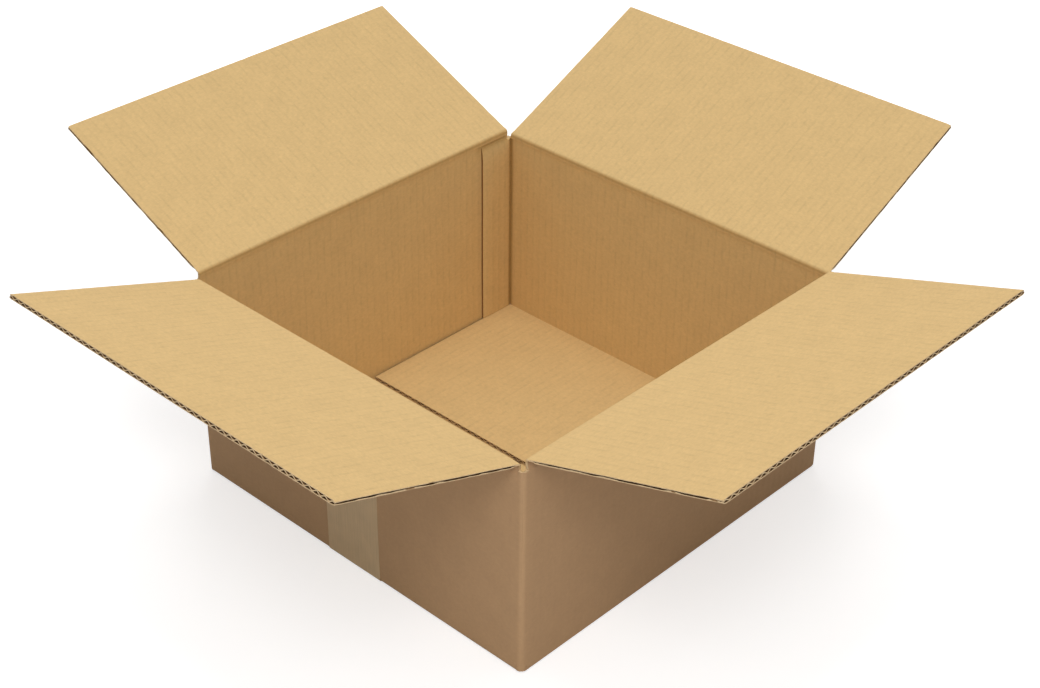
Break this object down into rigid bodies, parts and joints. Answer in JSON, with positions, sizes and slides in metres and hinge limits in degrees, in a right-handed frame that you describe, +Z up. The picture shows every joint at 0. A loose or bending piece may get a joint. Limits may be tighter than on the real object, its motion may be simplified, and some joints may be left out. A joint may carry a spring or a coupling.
{
  "type": "open cardboard box",
  "caption": "Open square corrugated shipping carton with its top flaps folded outward and a taped bottom seam.",
  "frame": {"origin": "centre of the base, on the surface that the carton rests on", "axes": "+Z up out of the open top; +X towards the right outer flap; +Y towards the back inner flap, along the bottom seam and its tape"},
  "size_m": [0.58, 0.5778, 0.2227],
  "materials": {
    "kraft_board": "matt",
    "packing_tape": "satin"
  },
  "bodies": {
    "carton": {"carton_body": "kraft_board", "bottom_tape": "packing_tape"},
    "front_flap": {"front_flap": "kraft_board"},
    "right_flap": {"right_flap": "kraft_board"},
    "back_flap": {"back_flap": "kraft_board"},
    "left_flap": {"left_flap": "kraft_board"}
  },
  "joints": [
    {"name": "front_flap_hinge", "type": "hinge", "parent": "carton", "child": "front_flap", "pos_m": [0, -0.1515, 0.1578], "axis": [1, 0, 0], "range_deg": [-160.5, 49.5]},
    {"name": "right_flap_hinge", "type": "hinge", "parent": "carton", "child": "right_flap", "pos_m": [0.1515, 0, 0.1611], "axis": [0, 1, 0], "range_deg": [-162, 48]},
    {"name": "back_flap_hinge", "type": "hinge", "parent": "carton", "child": "back_flap", "pos_m": [0, 0.1515, 0.1578], "axis": [-1, 0, 0], "range_deg": [-155, 55]},
    {"name": "left_flap_hinge", "type": "hinge", "parent": "carton", "child": "left_flap", "pos_m": [-0.1515, 0, 0.1611], "axis": [0, -1, 0], "range_deg": [-156, 54]}
  ]
}
